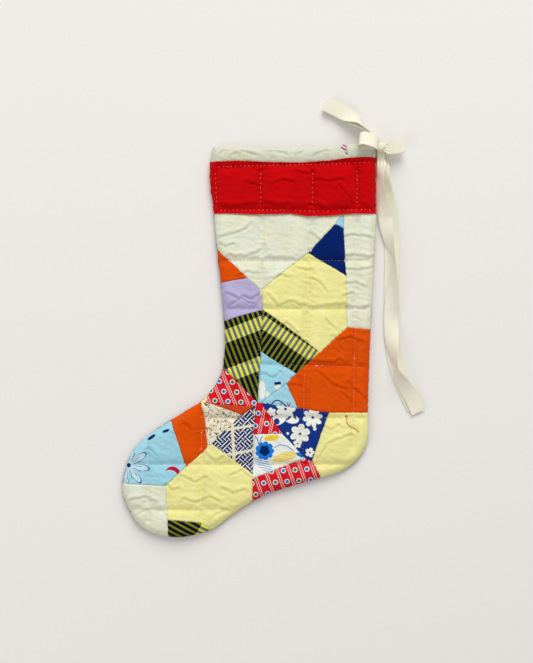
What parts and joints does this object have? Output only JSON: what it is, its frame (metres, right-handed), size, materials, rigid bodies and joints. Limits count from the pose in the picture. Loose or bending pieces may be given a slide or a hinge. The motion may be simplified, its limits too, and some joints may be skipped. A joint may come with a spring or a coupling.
{
  "type": "quilted hanging stocking",
  "caption": "Flat-lying patchwork quilted stocking with a red cuff, an open pocket and a twill tape hanging loop tied in a bow at its top corner.",
  "frame": {"origin": "middle of the stocking's back face, on the surface it lies on", "axes": "+Y up the leg to the mouth, toe towards -X, +Z out of the front panel"},
  "size_m": [0.3333, 0.4846, 0.0272],
  "materials": {
    "white_cotton": "slubby unbleached cotton, puckered by quilting",
    "sky_cotton": "plain cotton with sparse line-drawn flowers",
    "navy_cotton": "plain weave cotton",
    "cream_cotton": "pale yellow dobby cotton",
    "orange_cotton": "plain weave cotton",
    "lavender_cotton": "plain weave cotton",
    "striped_cotton": "woven navy, olive and yellow stripe",
    "dotted_cotton": "red print with rings and small zigzags",
    "brick_cotton": "plain weave cotton",
    "blossom_cotton": "blue print with large white flowers",
    "bell_cotton": "white print with blue and yellow flowers",
    "sprig_cotton": "cream print with small brown sprigs",
    "lattice_cotton": "navy print with a white lattice",
    "pink_cotton": "small pink and wine print",
    "red_cotton": "bright red plain weave cotton",
    "wine_cotton": "dark red plain weave cotton",
    "batting": "needled cotton wadding",
    "lining_cotton": "unbleached muslin",
    "thread": "cotton quilting thread",
    "red_thread": "red sewing thread",
    "twill_tape": "unbleached cotton twill tape"
  },
  "bodies": {
    "stocking": {"back_leg": "wine_cotton", "back_foot": "wine_cotton", "back_cuff": "red_cotton", "back_hem": "white_cotton", "back_batting": "batting", "back_lining": "lining_cotton", "shin_seam": "lining_cotton", "calf_seam": "lining_cotton", "toe_seam": "lining_cotton", "heel_seam": "lining_cotton", "front_lining": "lining_cotton", "front_batting": "batting", "white_yoke": "white_cotton", "sky_chip": "sky_cotton", "navy_kite": "navy_cotton", "white_side": "white_cotton", "cream_hexagon": "cream_cotton", "orange_side": "orange_cotton", "lavender_patch": "lavender_cotton", "stripe_left": "striped_cotton", "stripe_right": "striped_cotton", "sky_triangle": "sky_cotton", "sky_lower": "sky_cotton", "orange_calf": "orange_cotton", "ankle_print": "dotted_cotton", "brick_sliver": "brick_cotton", "blossom_print": "blossom_cotton", "wedge_print": "dotted_cotton", "bell_print": "bell_cotton", "sole_print": "dotted_cotton", "cream_heel": "cream_cotton", "sprig_print": "sprig_cotton", "lattice_print": "lattice_cotton", "orange_instep": "orange_cotton", "cream_chip": "cream_cotton", "sky_toe": "sky_cotton", "white_toe": "white_cotton", "cream_sole": "cream_cotton", "stripe_toe": "striped_cotton", "hem_band": "white_cotton", "hem_chip": "pink_cotton", "cuff_band": "red_cotton", "cuff_stitches": "thread", "quilting_stitches": "thread", "heel_thread": "red_thread", "ribbon_tacking": "thread", "bow_knot": "twill_tape"},
    "loop": {"hanging_loop": "twill_tape"},
    "bow_left": {"bow_loop_left": "twill_tape"},
    "bow_right": {"bow_loop_right": "twill_tape"},
    "tail_a": {"tail_front": "twill_tape"},
    "tail_b": {"tail_back": "twill_tape"}
  },
  "joints": [
    {"name": "loop_swing", "type": "hinge", "parent": "stocking", "child": "loop", "pos_m": [0.1448, 0.211, 0.0096], "axis": [0, 0, 1], "range_deg": [-65, 0]},
    {"name": "bow_left_swing", "type": "hinge", "parent": "stocking", "child": "bow_left", "pos_m": [0.1448, 0.211, 0.0096], "axis": [0, 0, 1], "range_deg": [-10, 15]},
    {"name": "bow_right_swing", "type": "hinge", "parent": "stocking", "child": "bow_right", "pos_m": [0.1448, 0.211, 0.0096], "axis": [0, 0, 1], "range_deg": [-15, 12]},
    {"name": "tail_back_swing", "type": "hinge", "parent": "stocking", "child": "tail_b", "pos_m": [0.1448, 0.211, 0.0096], "axis": [0, 0, 1], "range_deg": [0, 35]},
    {"name": "tail_front_swing", "type": "hinge", "parent": "stocking", "child": "tail_a", "pos_m": [0.1448, 0.211, 0.0096], "axis": [0, 0, 1], "range_deg": [0, 35]}
  ],
  "couplings": [
    {"joint": "tail_front_swing", "follows": "tail_back_swing", "ratio": 1}
  ]
}
